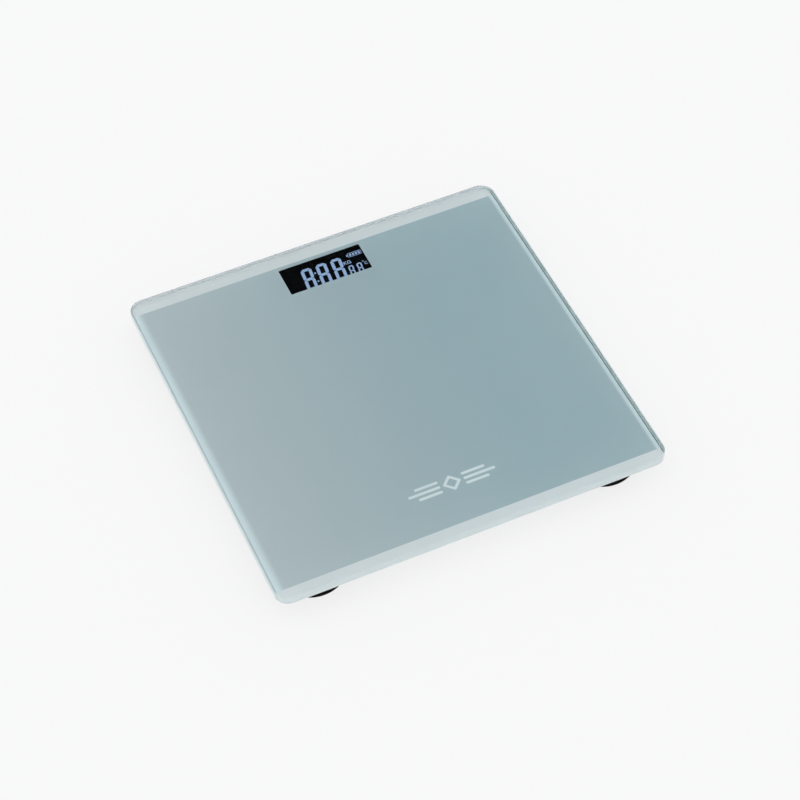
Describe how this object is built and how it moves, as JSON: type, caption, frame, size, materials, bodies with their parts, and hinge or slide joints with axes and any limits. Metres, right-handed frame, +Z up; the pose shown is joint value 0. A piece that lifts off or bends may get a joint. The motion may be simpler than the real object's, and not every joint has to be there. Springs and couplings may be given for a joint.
{
  "type": "digital bathroom scale",
  "caption": "Low square glass body-weight scale with a lit display set behind its rear edge, resting on round floating weighing feet.",
  "frame": {"origin": "on the floor, under the centre of the square glass platform", "axes": "+X to the right as the display is read, +Y from the front edge to the display edge, +Z up"},
  "size_m": [0.28, 0.28, 0.023],
  "materials": {
    "tempered_glass": "clear float glass, tempered, pencil-polished edges",
    "printed_film": "pale grey-blue print with silvery bands, seen through the glass",
    "foam_tape": "white closed-cell foam tape",
    "black_abs": "moulded, fine spark texture",
    "wire_clip": "moulded, satin",
    "black_rubber": "moulded, matt",
    "plated_steel": "nickel plated",
    "spring_steel": "stamped and nickel plated, satin",
    "gauge_coating": "white silicone cover",
    "lcd_glass": "near-black negative display with pale blue segments",
    "light_guide": "clear acrylic with a white reflector",
    "silicone_strip": "banded elastomer",
    "circuit_board": "green solder mask",
    "black_resin": "glossy epoxy drop",
    "switch_body": "stamped shell",
    "grey_button": "moulded, satin",
    "battery_sleeve": "plain shrink sleeve",
    "wire_sleeve": "flexible PVC",
    "red_wire": "flexible PVC",
    "black_wire": "flexible PVC"
  },
  "bodies": {
    "chassis": {"battery_front": "battery_sleeve", "battery_lead_black": "black_wire", "battery_lead_red": "red_wire", "battery_rear": "battery_sleeve", "board_screw_1": "plated_steel", "board_screw_2": "plated_steel", "box_tape": "foam_tape", "circuit_board": "circuit_board", "contact_bridge": "plated_steel", "contact_negative": "plated_steel", "contact_positive": "plated_steel", "controller_blob": "black_resin", "cover_screw_1": "plated_steel", "cover_screw_2": "plated_steel", "cover_screw_3": "plated_steel", "cover_screw_4": "plated_steel", "display_cover": "black_abs", "display_housing": "black_abs", "foot_housing_front_left": "black_abs", "foot_housing_front_right": "black_abs", "foot_housing_rear_left": "black_abs", "foot_housing_rear_right": "black_abs", "foot_tape_front_left": "foam_tape", "foot_tape_front_right": "foam_tape", "foot_tape_rear_left": "foam_tape", "foot_tape_rear_right": "foam_tape", "glass_platform": "tempered_glass", "lcd_backlight": "light_guide", "lcd_panel": "lcd_glass", "load_cell_front_left": "spring_steel", "load_cell_front_right": "spring_steel", "load_cell_rear_left": "spring_steel", "load_cell_rear_right": "spring_steel", "printed_film": "printed_film", "sensor_wire_front_left": "wire_sleeve", "sensor_wire_front_right": "wire_sleeve", "sensor_wire_rear_left": "wire_sleeve", "sensor_wire_rear_right": "wire_sleeve", "spring_front": "plated_steel", "spring_rear": "plated_steel", "strain_gauge_front_left": "gauge_coating", "strain_gauge_front_right": "gauge_coating", "strain_gauge_rear_left": "gauge_coating", "strain_gauge_rear_right": "gauge_coating", "unit_switch": "switch_body", "wire_clip_left_1": "wire_clip", "wire_clip_left_2": "wire_clip", "wire_clip_right_1": "wire_clip", "wire_clip_right_2": "wire_clip", "zebra_connector": "silicone_strip"},
    "battery_door": {"battery_door": "black_abs"},
    "unit_button": {"unit_button": "grey_button"},
    "foot_front_left": {"foot_cap_front_left": "black_abs", "foot_pad_front_left": "black_rubber"},
    "foot_front_right": {"foot_cap_front_right": "black_abs", "foot_pad_front_right": "black_rubber"},
    "foot_rear_left": {"foot_cap_rear_left": "black_abs", "foot_pad_rear_left": "black_rubber"},
    "foot_rear_right": {"foot_cap_rear_right": "black_abs", "foot_pad_rear_right": "black_rubber"}
  },
  "joints": [
    {"name": "foot_travel_front_left", "type": "slide", "parent": "chassis", "child": "foot_front_left", "axis": [0, 0, -1], "range_m": [0, 0.001]},
    {"name": "foot_travel_front_right", "type": "slide", "parent": "chassis", "child": "foot_front_right", "axis": [0, 0, -1], "range_m": [0, 0.001]},
    {"name": "foot_travel_rear_left", "type": "slide", "parent": "chassis", "child": "foot_rear_left", "axis": [0, 0, -1], "range_m": [0, 0.001]},
    {"name": "foot_travel_rear_right", "type": "slide", "parent": "chassis", "child": "foot_rear_right", "axis": [0, 0, -1], "range_m": [0, 0.001]},
    {"name": "unit_button_press", "type": "slide", "parent": "chassis", "child": "unit_button", "axis": [0, 0, 1], "range_m": [0, 0.0004], "stiffness_N_per_m": 400, "springref_m": -0.0005},
    {"name": "battery_door_slide", "type": "slide", "parent": "chassis", "child": "battery_door", "axis": [0, -1, 0], "range_m": [0, 0.024]}
  ]
}
